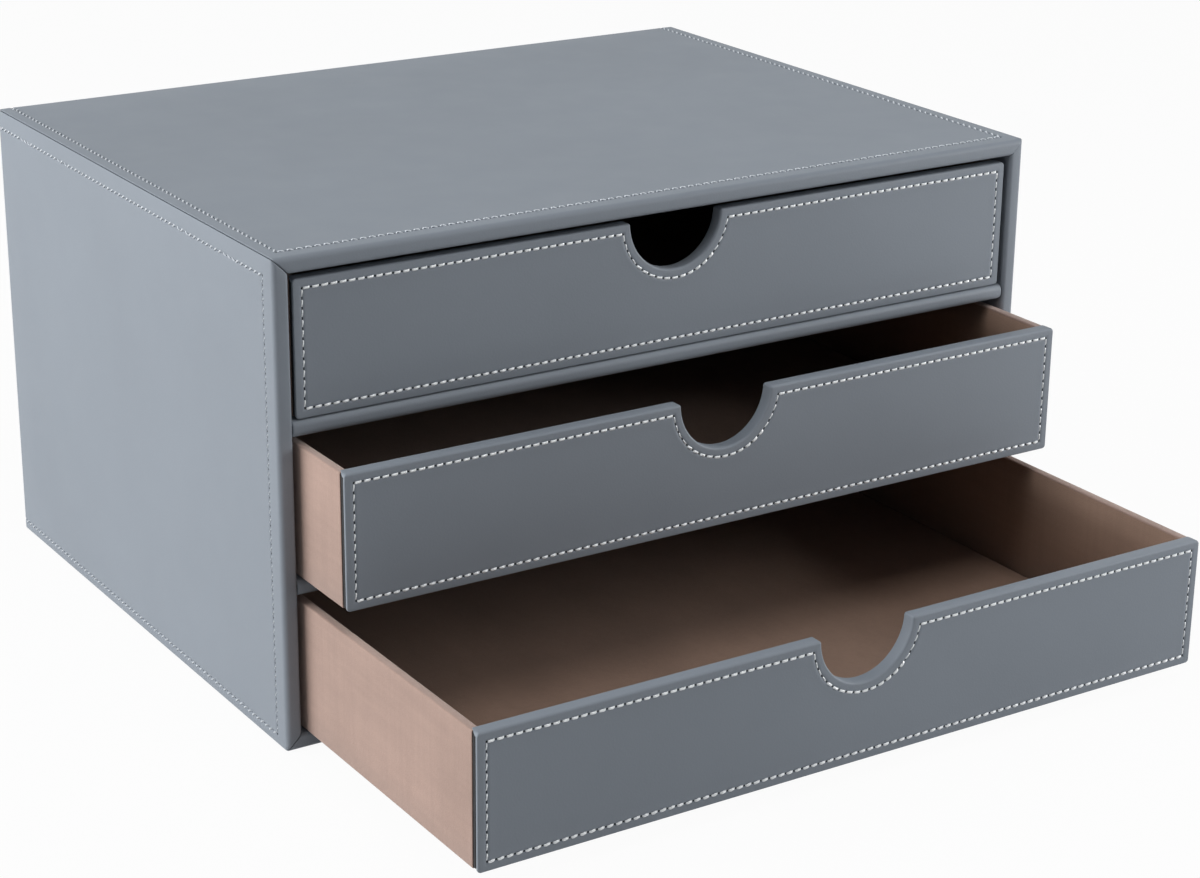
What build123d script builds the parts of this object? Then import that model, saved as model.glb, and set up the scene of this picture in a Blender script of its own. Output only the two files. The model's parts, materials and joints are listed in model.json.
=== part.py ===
"""Desktop drawer organizer: a leather-wrapped cabinet with three pull-out drawers.

Millimetres, +Z up. The origin is the centre of the cabinet's base where it stands on the desk, and the
drawers open towards -Y. Every wrapped piece is a board core with its leather or suede skin round it.
The model is written as it stands with the top drawer shut and the two lower drawers pulled out.
"""

import os

from build123d import *

# Cabinet
cabinet_width = 330.0
cabinet_depth = 252.0
cabinet_board = 4.5  # core board of every cabinet panel and shelf
leather = 0.8  # covering sheet, and the lining that lies level with its turned-in edges
rim_radius = 2.0  # outer edge of the wrapped rim, front and back
rim_inner_radius = 1.5  # rim edge on the side of the openings
seam_radius = 0.45  # leather edge where two panels meet at a mitred corner
seam_gap = 0.1  # half the width of the mitre line between two covers
front_turn_in = 22.0  # leather turned in behind the front rim
back_turn_in_overlap = 2.0  # leather turned in past the back panel
back_recess = 1.5  # back panel's outer face, in from the back rim
back_edge_radius = 0.5  # eased edge of the back panel's leather
shelf_recess = 0.5  # shelf's nose, in from the front rim
shelf_nose_radius = 2.2
shelf_end_gap = 0.15  # leather of a shelf to the cabinet's side
housing_depth = 1.2  # groove in each side board that a shelf's tongue enters
housing_clearance = 0.05
base_pad_thickness = 1.0
base_pad_inset = 8.0
base_pad_corner_radius = 6.0

# Drawers
drawer_height = 50.4
drawer_side_gap = 2.0
drawer_top_gap = 2.5
drawer_running_gap = 0.3  # underside of a drawer to the shelf that carries it
drawer_back_gap = 0.6
front_recess = 1.5  # shut front, in from the cabinet's rim
facing = 1.3  # leather on a drawer's front, two plies sewn together
facing_gap = 1.6  # shadow line from the facing to the ends of the side walls
front_board = 3.5
front_corner_radius = 1.4
front_edge_radius = 0.45
notch_radius = 20.0
notch_lip_radius = 1.0
suede = 0.5
wall_board = 2.5
floor_board = 2.5
floor_liner = 0.8
box_side_inset = 0.3  # drawer box, in from the ends of its front
box_top_inset = 0.5  # walls of the drawer box, below the top of its front
wall_edge_radius = 0.4

# How far each drawer is pulled out as it stands
drawer_pulls = {"top": 0.0, "middle": 35.0, "bottom": 123.0}

# Sizes that follow from those above
drawer_count = len(drawer_pulls)
panel = cabinet_board + 2 * leather
opening_width = cabinet_width - 2 * panel
opening_height = drawer_height + drawer_running_gap + drawer_top_gap
inside_height = drawer_count * opening_height + (drawer_count - 1) * panel
shell_height = inside_height + 2 * panel
cabinet_height = base_pad_thickness + shell_height
front_y = -cabinet_depth / 2
back_y = cabinet_depth / 2
back_turn_in = back_recess + panel + back_turn_in_overlap
back_panel_inner_y = back_y - back_recess - panel
shelf_front_y = front_y + shelf_recess
inside_floor_z = base_pad_thickness + panel
drawer_width = opening_width - 2 * drawer_side_gap
front_thickness = facing + front_board + suede
box_width = drawer_width - 2 * box_side_inset
box_height = drawer_height - box_top_inset
drawer_length = back_panel_inner_y - drawer_back_gap - front_y - front_recess
wall = wall_board + 2 * suede
floor_top = suede + floor_board + floor_liner


def rectangle(x0, y0, x1, y1):
    """A flat rectangle between two corners."""
    return Pos((x0 + x1) / 2, (y0 + y1) / 2) * Rectangle(x1 - x0, y1 - y0)


def block(x0, y0, z0, x1, y1, z1):
    """A box between two corners."""
    return Pos((x0 + x1) / 2, (y0 + y1) / 2, (z0 + z1) / 2) * Box(x1 - x0, y1 - y0, z1 - z0)


def rounded(face, corners):
    """The face with the corner nearest each (x, y) rounded to the radius given with it, if it has one."""
    for x, y, radius in corners:
        if radius > 0:
            nearest = face.vertices().sort_by_distance((x, y, 0))[0]
            face = fillet(nearest, radius)
    return face


# Cabinet panels. A panel is drawn lying in its own frame: x runs from the front rim to the back rim,
# y from the outer face to the inner face, and z along the panel, which is mitred at both ends.


def panel_outline():
    """Section of a whole panel, with its rounded front and back rims."""
    rims = [
        (0, 0, rim_radius),
        (cabinet_depth, 0, rim_radius),
        (0, panel, rim_inner_radius),
        (cabinet_depth, panel, rim_inner_radius),
    ]
    return rounded(rectangle(0, 0, cabinet_depth, panel), rims)


def panel_core():
    """Section of the board inside a panel, its rims eased to suit the leather round them."""
    far = cabinet_depth - leather
    rims = [
        (leather, leather, rim_radius - leather),
        (far, leather, rim_radius - leather),
        (leather, panel - leather, rim_inner_radius - leather),
        (far, panel - leather, rim_inner_radius - leather),
    ]
    return rounded(rectangle(leather, leather, far, panel - leather), rims)


def panel_lining():
    """Section of the lining sheet, between the two turned-in edges of the leather."""
    return rectangle(front_turn_in, panel - leather, cabinet_depth - back_turn_in, panel)


def mitred(section, length, gap, corner_radius):
    """A section run along z for a length measured at the outer face, with both ends cut at 45 degrees."""
    half = length / 2 - gap
    ends = Polygon((0, -half), (panel, panel - half), (panel, half - panel), (0, half), align=None)
    ends = rounded(ends, [(0, -half, corner_radius), (0, half, corner_radius)])
    reach = extrude(Plane.YZ * ends, cabinet_depth)
    return extrude(Pos(0, 0, -half) * section, 2 * half) & reach


def cabinet_panel(length, place):
    """Cover, board and lining of one outer panel of the cabinet, put in its place."""
    cover = mitred(panel_outline() - panel_core() - panel_lining(), length, seam_gap, seam_radius)
    board = mitred(panel_core(), length, 0, 0)
    lining = mitred(panel_lining(), length, seam_gap, 0)
    return place * cover, place * board, place * lining


def shelf_board_z(number):
    """Underside of a shelf's board; shelf 0 is the lowest."""
    return inside_floor_z + (number + 1) * opening_height + number * panel + leather


def shelf_tongues(number, clearance):
    """Both ends of a shelf's board, let into the side boards behind the turned-in leather."""
    z = shelf_board_z(number)
    reach = opening_width / 2 + leather + housing_depth + clearance
    return block(
        -reach,
        front_y + front_turn_in,
        z - clearance,
        reach,
        back_y - back_turn_in,
        z + cabinet_board + clearance,
    )


def shelf(number):
    """Cover and board of one shelf between two drawers."""
    depth = back_panel_inner_y - shelf_front_y
    nose = [(0, 0, shelf_nose_radius), (0, panel, shelf_nose_radius)]
    outline = rounded(rectangle(0, 0, depth, panel), nose)
    core_radius = shelf_nose_radius - leather
    core_nose = [(leather, leather, core_radius), (leather, panel - leather, core_radius)]
    core = rounded(rectangle(leather, leather, depth, panel - leather), core_nose)
    length = opening_width - 2 * shelf_end_gap
    place = Plane((-length / 2, shelf_front_y, shelf_board_z(number) - leather), (0, 1, 0), (1, 0, 0))
    cover = place * extrude(outline - core, length)
    board = place * extrude(core, length) + shelf_tongues(number, 0)
    return cover, board


def back_panel():
    """Cover, board and lining of the back, which stands between the other panels."""
    half = opening_width / 2
    z0 = inside_floor_z
    z1 = inside_floor_z + inside_height
    inner_y = back_panel_inner_y
    lining = block(-half, inner_y, z0, half, inner_y + leather, z1)
    board = block(-half, inner_y + leather, z0, half, inner_y + leather + cabinet_board, z1)
    cover = block(-half, inner_y + panel - leather, z0, half, inner_y + panel, z1)
    cover = fillet(cover.faces().sort_by(Axis.Y)[-1].edges(), back_edge_radius)
    return cover, board, lining


def base_pad():
    """Felt sheet under the cabinet, which stands on it."""
    width = cabinet_width - 2 * base_pad_inset
    depth = cabinet_depth - 2 * base_pad_inset
    return extrude(RectangleRounded(width, depth, base_pad_corner_radius), base_pad_thickness)


def cabinet():
    """Every piece of the cabinet, by name."""
    middle_z = base_pad_thickness + shell_height / 2
    top_z = base_pad_thickness + shell_height
    half = cabinet_width / 2
    places = {
        "left_side": (shell_height, Plane((-half, front_y, middle_z), (0, 1, 0), (0, 0, -1))),
        "right_side": (shell_height, Plane((half, front_y, middle_z), (0, 1, 0), (0, 0, 1))),
        "top_panel": (cabinet_width, Plane((0, front_y, top_z), (0, 1, 0), (-1, 0, 0))),
        "bottom_panel": (cabinet_width, Plane((0, front_y, base_pad_thickness), (0, 1, 0), (1, 0, 0))),
    }
    pieces = {"base_pad": base_pad()}
    for name, (length, place) in places.items():
        cover, board, lining = cabinet_panel(length, place)
        if name.endswith("side"):
            for number in range(drawer_count - 1):
                housing = shelf_tongues(number, housing_clearance)
                board -= housing
                lining -= housing
        pieces[f"{name}_cover"] = cover
        pieces[f"{name}_board"] = board
        pieces[f"{name}_lining"] = lining
    pieces["back_panel_cover"], pieces["back_panel_board"], pieces["back_panel_lining"] = back_panel()
    for number, name in enumerate(("lower_shelf", "upper_shelf")):
        pieces[f"{name}_cover"], pieces[f"{name}_board"] = shelf(number)
    return pieces


# Drawers. A drawer is drawn with its front face at y = 0, its underside at z = 0 and its middle at x = 0.


def front_outline():
    """Outline of a drawer's leather front, with the finger notch in its top."""
    half = drawer_width / 2
    face = rectangle(-half, 0, half, drawer_height) - Pos(0, drawer_height) * Circle(notch_radius)
    corners = [(x, z, front_corner_radius) for x in (-half, half) for z in (0, drawer_height)]
    lips = [(x, drawer_height, notch_lip_radius) for x in (-notch_radius, notch_radius)]
    return rounded(face, corners + lips)


def core_outline(half):
    """Outline of what lies under the leather that is turned over a front's top and through its notch."""
    low = suede
    high = drawer_height - leather
    radius = notch_radius + leather
    notch_half = (radius**2 - leather**2) ** 0.5
    lip = notch_lip_radius - leather
    face = rectangle(-half, low, half, high) - Pos(0, drawer_height) * Circle(radius)
    return rounded(face, [(x, high, lip) for x in (-notch_half, notch_half)])


def slab(outline, y0, y1):
    """An upright outline given its thickness, from one depth to another."""
    face = Plane((0, y0, 0), (1, 0, 0), (0, -1, 0)) * outline
    return extrude(face, y1 - y0, dir=(0, 1, 0))


def drawer_front():
    """Leather facing with its turned-over top, board and suede back of a drawer's front."""
    sheet = slab(front_outline(), 0, facing)
    sheet = fillet(sheet.faces().sort_by(Axis.Y)[0].edges(), front_edge_radius)
    under = slab(core_outline(drawer_width), facing, front_thickness)
    under += block(-drawer_width, facing, -suede, drawer_width, front_thickness, 2 * suede)
    turned = slab(front_outline(), facing, front_thickness) - under
    half = box_width / 2 - suede - wall_board
    board = slab(core_outline(half), facing, facing + front_board)
    back = slab(core_outline(half), facing + front_board, front_thickness)
    return sheet + turned, board, back


def drawer_box():
    """Boards of a drawer's box, the suede round them and the loose liner on its floor."""
    half = box_width / 2
    outer = half - suede
    inner = outer - wall_board
    ends = facing + facing_gap
    near = front_thickness
    far = drawer_length
    rear = far - suede - wall_board
    top = box_height - suede
    under_leather = drawer_height - leather
    left = block(-outer, ends, suede, -inner, far - suede, top)
    right = block(inner, ends, suede, outer, far - suede, top)
    back = block(-inner, rear, suede, inner, far - suede, top)
    floor = block(-inner, near, suede, inner, rear, suede + floor_board)
    cavity = block(wall - half, near, suede + floor_board, half - wall, far - wall, box_height)
    skin = block(-half, ends, 0, half, far, box_height)
    rims = skin.edges().filter_by(Axis.Y).group_by(Axis.Z)[-1]
    rims += skin.faces().sort_by(Axis.Y)[-1].edges().filter_by(Axis.X).group_by(Axis.Z)[-1]
    skin = fillet(rims, wall_edge_radius)
    skin -= block(-half, ends, under_leather, half, near, drawer_height)
    skin -= block(-inner, ends, suede, inner, near, drawer_height)
    wrap = skin - block(-outer, ends, suede, outer, far - suede, top) - cavity
    lining_space = block(-inner, near, suede + floor_board, inner, rear, top)
    lining = lining_space - cavity
    liner = block(wall - half, near, suede + floor_board, half - wall, far - wall, floor_top)
    return {
        "left_wall": left,
        "right_wall": right,
        "back_wall": back,
        "floor_board": floor,
        "outer_wrap": wrap,
        "inner_lining": lining,
        "floor_liner": liner,
    }


def drawer(number, name, pull):
    """Every piece of one drawer, by name, in its place; drawer 0 is the lowest."""
    pieces = drawer_box()
    pieces["front_cover"], pieces["front_board"], pieces["front_lining"] = drawer_front()
    z = inside_floor_z + number * (opening_height + panel) + drawer_running_gap
    place = Pos(0, front_y + front_recess - pull, z)
    return {f"{name}_drawer_{piece}": place * solid for piece, solid in pieces.items()}


def main():
    pieces = cabinet()
    for position, (name, pull) in enumerate(drawer_pulls.items()):
        pieces.update(drawer(drawer_count - 1 - position, name, pull))
    os.makedirs("parts", exist_ok=True)
    for name, solid in pieces.items():
        export_step(solid, f"parts/{name}.step")


main()
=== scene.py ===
"""Looks of a desktop drawer organizer, built round its packed solids.

Leather covers, suede drawer boxes, sewn thread, finishes and the stage are made by one operator each.
Sizes inside the mesh functions are in millimetres, in the part's own frame: +Z up, drawers open to -Y.
"""

import json
import math

import bpy
from bpy.props import FloatProperty, FloatVectorProperty, PointerProperty
from mathutils import Matrix, Vector


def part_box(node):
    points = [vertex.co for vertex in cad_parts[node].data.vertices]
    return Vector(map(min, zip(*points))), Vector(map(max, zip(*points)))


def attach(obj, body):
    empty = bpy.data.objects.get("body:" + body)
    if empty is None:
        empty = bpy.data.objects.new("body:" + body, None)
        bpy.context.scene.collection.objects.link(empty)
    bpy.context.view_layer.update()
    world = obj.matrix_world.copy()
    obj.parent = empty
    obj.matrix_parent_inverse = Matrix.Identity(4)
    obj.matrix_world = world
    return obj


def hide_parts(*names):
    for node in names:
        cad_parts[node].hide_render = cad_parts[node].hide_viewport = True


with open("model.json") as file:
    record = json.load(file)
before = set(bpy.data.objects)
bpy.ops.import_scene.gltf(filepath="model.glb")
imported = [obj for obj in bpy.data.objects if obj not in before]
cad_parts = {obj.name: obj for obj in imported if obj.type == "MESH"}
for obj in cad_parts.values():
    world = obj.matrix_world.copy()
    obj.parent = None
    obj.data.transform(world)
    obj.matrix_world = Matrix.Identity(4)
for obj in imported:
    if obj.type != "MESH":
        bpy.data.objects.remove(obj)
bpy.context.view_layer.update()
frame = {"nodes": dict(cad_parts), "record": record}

bl_info = {
    "name": "Drawer Organizer",
    "version": (1, 0, 0),
    "blender": (4, 5, 0),
    "location": "View3D > Sidebar > Organizer",
    "description": "Leather, suede and stitching of a desktop drawer organizer",
    "category": "Object",
}

MM = 0.001
DRAWERS = ("top", "middle", "bottom")


# Settings


COLOUR = {"subtype": "COLOR", "size": 4, "min": 0, "max": 1}


class LeatherSettings(bpy.types.PropertyGroup):
    """Coated leather round the cabinet, the shelves and the drawer fronts."""

    colour: FloatVectorProperty(
        name="Colour",
        description="Colour of the leather",
        default=(0.236, 0.265, 0.303, 1),
        **COLOUR,
    )
    roughness: FloatProperty(
        name="Roughness",
        description="How dull the leather's coating is",
        subtype="FACTOR",
        min=0,
        max=1,
        default=0.54,
    )
    grain: FloatProperty(
        name="Grain",
        description="Size of one pebble of the embossed grain",
        subtype="DISTANCE",
        default=0.0008,
    )
    thickness: FloatProperty(
        name="Thickness",
        description="Thickness of the leather sheet",
        subtype="DISTANCE",
        default=0.0006,
    )
    outer_rim: FloatProperty(
        name="Outer rim radius",
        description="Rounding of the cabinet's rim on the outside",
        subtype="DISTANCE",
        default=0.002,
    )
    inner_rim: FloatProperty(
        name="Inner rim radius",
        description="Rounding of the cabinet's rim on the side of the openings",
        subtype="DISTANCE",
        default=0.0015,
    )
    facing: FloatProperty(
        name="Facing",
        description="Thickness of a drawer's leather front at its ends and its lower edge",
        subtype="DISTANCE",
        default=0.0013,
    )
    front_edge: FloatProperty(
        name="Front edge radius",
        description="Rounding of a drawer front's ends and its lower edge",
        subtype="DISTANCE",
        default=0.00045,
    )
    top_edge: FloatProperty(
        name="Top edge radius",
        description="Rounding where a drawer front is turned over at its top and its notch",
        subtype="DISTANCE",
        default=0.0009,
    )
    turn_in: FloatProperty(
        name="Turn-in",
        description="Leather folded over the top of a drawer front on to its inside",
        subtype="DISTANCE",
        default=0.0065,
    )


class SuedeSettings(bpy.types.PropertyGroup):
    """Suede cloth of the drawer boxes and the dark cloth that lines the cabinet."""

    colour: FloatVectorProperty(
        name="Colour",
        description="Colour of the suede",
        default=(0.447, 0.312, 0.261, 1),
        **COLOUR,
    )
    # The inside colour is the suede darkened into painted shade for the insides of the drawers
    inside: FloatVectorProperty(
        name="Inside colour",
        description="Colour of the suede inside the drawers",
        default=(0.325, 0.213, 0.158, 1),
        **COLOUR,
    )
    lining: FloatVectorProperty(
        name="Lining colour",
        description="Colour of the cloth inside the cabinet",
        default=(0.035, 0.042, 0.052, 1),
        **COLOUR,
    )
    edge: FloatProperty(
        name="Edge radius",
        description="Rounding of the suede over the top of a drawer's walls",
        subtype="DISTANCE",
        default=0.0006,
    )
    corner: FloatProperty(
        name="Corner radius",
        description="Rounding of the suede at the back corners of a drawer",
        subtype="DISTANCE",
        default=0.0025,
    )


class StitchSettings(bpy.types.PropertyGroup):
    """Sewn thread along the edges of the leather."""

    colour: FloatVectorProperty(
        name="Thread colour",
        description="Colour of the thread on the drawer fronts",
        default=(0.95, 0.98, 1.0, 1),
        **COLOUR,
    )
    cabinet_colour: FloatVectorProperty(
        name="Cabinet thread colour",
        description="Colour of the thread on the cabinet",
        default=(0.56, 0.605, 0.65, 1),
        **COLOUR,
    )
    pitch: FloatProperty(
        name="Pitch",
        description="Distance from one needle hole to the next",
        subtype="DISTANCE",
        default=0.00352,
    )
    thread: FloatProperty(
        name="Thread width",
        description="Width of the thread as it lies on the drawer fronts",
        subtype="DISTANCE",
        default=0.00095,
    )
    cabinet_thread: FloatProperty(
        name="Cabinet thread width",
        description="Width of the thread as it lies on the cabinet",
        subtype="DISTANCE",
        default=0.00072,
    )
    cabinet_tilt: FloatProperty(
        name="Cabinet tilt",
        description="Angle of each stitch on the cabinet to its line",
        subtype="ANGLE",
        default=math.radians(20),
    )
    tilt: FloatProperty(
        name="Tilt",
        description="Angle of each stitch to its line",
        subtype="ANGLE",
        default=math.radians(5),
    )
    front_inset: FloatProperty(
        name="Drawer front inset",
        description="Stitch line to the edge of a drawer front",
        subtype="DISTANCE",
        default=0.0035,
    )
    top_front_inset: FloatProperty(
        name="Top front inset",
        description="Stitch line on the top to the cabinet's front",
        subtype="DISTANCE",
        default=0.0078,
    )
    top_side_inset: FloatProperty(
        name="Top side inset",
        description="Stitch line on the top to the cabinet's sides",
        subtype="DISTANCE",
        default=0.0055,
    )
    side_front_inset: FloatProperty(
        name="Side front inset",
        description="Stitch line on a side to the cabinet's front",
        subtype="DISTANCE",
        default=0.0082,
    )
    side_top_inset: FloatProperty(
        name="Side top inset",
        description="Stitch line on a side to the cabinet's top",
        subtype="DISTANCE",
        default=0.0075,
    )
    side_bottom_inset: FloatProperty(
        name="Side bottom inset",
        description="Stitch line on a side to the cabinet's base",
        subtype="DISTANCE",
        default=0.0042,
    )


class StageSettings(bpy.types.PropertyGroup):
    """Floor, lights and camera."""

    floor: FloatVectorProperty(
        name="Floor colour",
        description="Colour of the floor and the backdrop",
        default=(0.62, 0.62, 0.62, 1),
        **COLOUR,
    )
    lens: FloatProperty(
        name="Lens",
        description="Focal length on a 36 mm sensor",
        default=82.483,
    )
    place: FloatVectorProperty(
        name="Camera place",
        description="Where the camera stands",
        subtype="TRANSLATION",
        size=3,
        default=(-0.55141, -0.93008, 0.44838),
    )
    turn: FloatProperty(
        name="Turn",
        description="Camera's turn about the vertical",
        subtype="ANGLE",
        default=math.radians(-32.794),
    )
    dip: FloatProperty(
        name="Dip",
        description="Camera's tilt below the horizon",
        subtype="ANGLE",
        default=math.radians(20.221),
    )
    roll: FloatProperty(
        name="Roll",
        description="Camera's turn about its own axis",
        subtype="ANGLE",
        default=math.radians(0.619),
    )


SETTINGS = {
    "organizer_leather": LeatherSettings,
    "organizer_suede": SuedeSettings,
    "organizer_stitch": StitchSettings,
    "organizer_stage": StageSettings,
}


# Materials


class Nodes:
    """A node tree with short ways to add and join nodes."""

    def __init__(self, name):
        self.material = bpy.data.materials.new(name)
        self.material.use_nodes = True
        self.tree = self.material.node_tree
        self.tree.nodes.clear()
        self.shader = self.add("ShaderNodeBsdfPrincipled")
        output = self.add("ShaderNodeOutputMaterial")
        self.join(self.shader.outputs["BSDF"], output.inputs["Surface"])
        self.place = self.add("ShaderNodeTexCoord").outputs["Object"]

    def add(self, kind, **values):
        node = self.tree.nodes.new(kind)
        for key, value in values.items():
            setattr(node, key, value)
        return node

    def join(self, source, target):
        self.tree.links.new(source, target)

    def stretched(self, scale):
        node = self.add("ShaderNodeMapping")
        node.inputs["Scale"].default_value = scale
        self.join(self.place, node.inputs["Vector"])
        return node.outputs["Vector"]

    def noise(self, scale, detail=2.0, roughness=0.5, place=None):
        node = self.add("ShaderNodeTexNoise")
        node.inputs["Scale"].default_value = scale
        node.inputs["Detail"].default_value = detail
        node.inputs["Roughness"].default_value = roughness
        self.join(place or self.place, node.inputs["Vector"])
        return node.outputs["Fac"]

    def cells(self, scale, feature="F1"):
        node = self.add("ShaderNodeTexVoronoi", feature=feature)
        node.inputs["Scale"].default_value = scale
        self.join(self.place, node.inputs["Vector"])
        return node.outputs["Distance"]

    def ramp(self, source, low, high, start=0.3, end=0.7):
        node = self.add("ShaderNodeValToRGB")
        node.color_ramp.elements[0].position = start
        node.color_ramp.elements[0].color = low
        node.color_ramp.elements[1].position = end
        node.color_ramp.elements[1].color = high
        self.join(source, node.inputs["Fac"])
        return node.outputs["Color"]

    def span(self, source, low, high):
        node = self.add("ShaderNodeMapRange")
        node.inputs["To Min"].default_value = low
        node.inputs["To Max"].default_value = high
        self.join(source, node.inputs["Value"])
        return node.outputs["Result"]

    def math(self, kind, first, second):
        node = self.add("ShaderNodeMath", operation=kind)
        for socket, value in zip(node.inputs, (first, second)):
            if isinstance(value, float):
                socket.default_value = value
            else:
                self.join(value, socket)
        return node.outputs["Value"]

    def mixed(self, first, second, factor, blend="MIX"):
        node = self.add("ShaderNodeMix", data_type="RGBA", blend_type=blend)
        node.inputs["Factor"].default_value = factor
        self.join(first, node.inputs["A"])
        self.join(second, node.inputs["B"])
        return node.outputs["Result"]

    def bump(self, height, strength, distance):
        node = self.add("ShaderNodeBump")
        node.inputs["Strength"].default_value = strength
        node.inputs["Distance"].default_value = distance
        self.join(height, node.inputs["Height"])
        self.join(node.outputs["Normal"], self.shader.inputs["Normal"])

    def set(self, **values):
        for key, value in values.items():
            self.shader.inputs[key.replace("_", " ")].default_value = value

    def colour(self, socket):
        self.join(socket, self.shader.inputs["Base Color"])

    def rough(self, socket):
        self.join(socket, self.shader.inputs["Roughness"])


def shade(colour, amount):
    """A colour made lighter or darker."""
    return tuple(min(1.0, part * amount) for part in colour[:3]) + (1.0,)


def leather_material(settings):
    """Smooth coated leather with a fine embossed grain and slow changes of tone."""
    made = Nodes("slate_leather")
    tone = made.noise(14.0, 3.0)
    made.colour(made.ramp(tone, shade(settings.colour, 0.975), shade(settings.colour, 1.025)))
    made.rough(made.span(made.noise(60.0, 4.0), settings.roughness - 0.06, settings.roughness + 0.06))
    pebble = made.math("POWER", made.cells(1.0 / settings.grain), 1.6)
    pores = made.noise(3.2 / settings.grain, 2.0)
    waves = made.math("MULTIPLY", made.noise(45.0, 2.0), 2.2)
    height = made.math("ADD", made.math("ADD", pebble, made.math("MULTIPLY", pores, 0.35)), waves)
    made.bump(height, 0.16, 0.00012)
    made.set(Specular_IOR_Level=0.34)
    return made.material


def suede_material(name, colour, sheen):
    """Napped cloth: mottled where the nap lies differently, with short fibres and a soft sheen."""
    made = Nodes(name)
    brushed = made.noise(26.0, 5.0, 0.62, made.stretched((1.0, 0.45, 0.8)))
    fibres = made.noise(2600.0, 2.0)
    nap = made.ramp(brushed, shade(colour, 0.9), shade(colour, 1.1), 0.32, 0.68)
    weft = made.noise(420.0, 2.0, 0.5, made.stretched((1.0, 1.0, 0.05)))
    warp = made.noise(420.0, 2.0, 0.5, made.stretched((0.05, 0.05, 1.0)))
    threads = made.math("MULTIPLY", weft, warp)
    weave = made.ramp(threads, (0.9, 0.9, 0.9, 1), (1.0, 1.0, 1.0, 1), 0.14, 0.36)
    speckle = made.ramp(fibres, (0.86, 0.86, 0.86, 1), (1.0, 1.0, 1.0, 1), 0.3, 0.65)
    made.colour(made.mixed(made.mixed(nap, weave, 0.55, "MULTIPLY"), speckle, 0.8, "MULTIPLY"))
    tufts = made.math("MULTIPLY", made.noise(800.0, 3.0), 0.8)
    made.bump(made.math("ADD", fibres, tufts), 0.35, 0.0002)
    made.set(Roughness=0.95, Specular_IOR_Level=0.15, Sheen_Weight=sheen, Sheen_Roughness=0.45)
    return made.material


def thread_material(name, colour, lustre):
    """Twisted sewing thread."""
    made = Nodes(name)
    plies = made.noise(2200.0, 2.0)
    made.colour(made.ramp(plies, shade(colour, 0.93), colour, 0.3, 0.6))
    made.bump(plies, 0.2, 0.0001)
    made.set(Roughness=0.35, Specular_IOR_Level=lustre)
    made.set(Coat_Weight=lustre, Coat_Roughness=0.36, Coat_IOR=2.2)
    return made.material


def hole_shade_material(leather):
    """The dark mouth of a needle hole."""
    made = Nodes("needle_hole_shade")
    made.colour(made.ramp(made.noise(900.0), shade(leather.colour, 0.1), shade(leather.colour, 0.2)))
    made.set(Roughness=0.9, Specular_IOR_Level=0.1)
    return made.material


def board_and_gap_shade_material():
    """Black pressed board under the skins."""
    made = Nodes("fibreboard_and_gap_shade")
    chips = made.noise(900.0, 4.0, 0.7)
    made.colour(made.ramp(chips, (0.012, 0.012, 0.013, 1), (0.032, 0.032, 0.034, 1)))
    made.bump(chips, 0.3, 0.0001)
    made.set(Roughness=0.85)
    return made.material


def felt_material():
    """Dark felt under the cabinet."""
    made = Nodes("base_felt")
    wool = made.noise(1500.0, 5.0, 0.7)
    made.colour(made.ramp(wool, (0.018, 0.018, 0.02, 1), (0.05, 0.05, 0.054, 1)))
    made.bump(wool, 0.6, 0.0003)
    made.set(Roughness=0.98, Specular_IOR_Level=0.1, Sheen_Weight=0.3)
    return made.material


OUTER_SHEEN = 0.35
INNER_SHEEN = 0.15
LINING_SHEEN = 0.12
FRONT_LUSTRE = 1.0
CABINET_LUSTRE = 0.7


def finish(name):
    """A finish by name, made the first time it is asked for."""
    found = bpy.data.materials.get(name)
    if found:
        return found
    leather = bpy.context.scene.organizer_leather
    suede = bpy.context.scene.organizer_suede
    stitch = bpy.context.scene.organizer_stitch
    makers = {
        "slate_leather": lambda: leather_material(leather),
        "drawer_suede": lambda: suede_material(name, suede.colour, OUTER_SHEEN),
        # The darker inside suede is painted shade
        "shaded_inner_suede": lambda: suede_material(name, suede.inside, INNER_SHEEN),
        "cabinet_lining": lambda: suede_material(name, suede.lining, LINING_SHEEN),
        "front_thread": lambda: thread_material(name, stitch.colour, FRONT_LUSTRE),
        "cabinet_thread": lambda: thread_material(name, stitch.cabinet_colour, CABINET_LUSTRE),
        "needle_hole_shade": lambda: hole_shade_material(leather),
        "fibreboard_and_gap_shade": board_and_gap_shade_material,
        "base_felt": felt_material,
    }
    return makers[name]()


# Meshes


def corner_box(node):
    """Lowest and highest corner of a CAD node, in millimetres."""
    low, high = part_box(node)
    return low / MM, high / MM


def loft(rings, closed):
    """Points and four-sided faces that join each ring of points to the next."""
    count = len(rings[0])
    points = [Vector(point) for ring in rings for point in ring]
    span = count if closed else count - 1
    faces = []
    for row in range(len(rings) - 1):
        for i in range(span):
            j = (i + 1) % count
            near = row * count
            far = near + count
            faces.append((near + i, near + j, far + j, far + i))
    return points, faces


SHARP_FOLD = math.radians(38)


def make_piece(name, points, faces, material, outward):
    """A smooth mesh object; outward is the side that its first face has to look to."""
    mesh = bpy.data.meshes.new(name)
    mesh.from_pydata([point * MM for point in points], [], faces)
    mesh.update()
    if mesh.polygons[0].normal.dot(Vector(outward)) < 0:
        mesh.flip_normals()
    mesh.shade_smooth()
    mesh.set_sharp_from_angle(angle=SHARP_FOLD)
    mesh.materials.append(finish(material))
    piece = bpy.data.objects.new(name, mesh)
    bpy.context.scene.collection.objects.link(piece)
    return piece


def stand_for(piece, node, body, thickness):
    """Thickens a sheet on its inner side, and puts it in a solid's place on its body."""
    solid = piece.modifiers.new("thickness", "SOLIDIFY")
    solid.thickness = thickness
    solid.offset = -1
    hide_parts(node)
    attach(piece, body)


def arc(centre, radius, start, end, count):
    """Points on an arc, without its last one."""
    angles = [start + (end - start) * i / count for i in range(count)]
    return [(centre[0] + radius * math.cos(a), centre[1] + radius * math.sin(a)) for a in angles]


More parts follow.
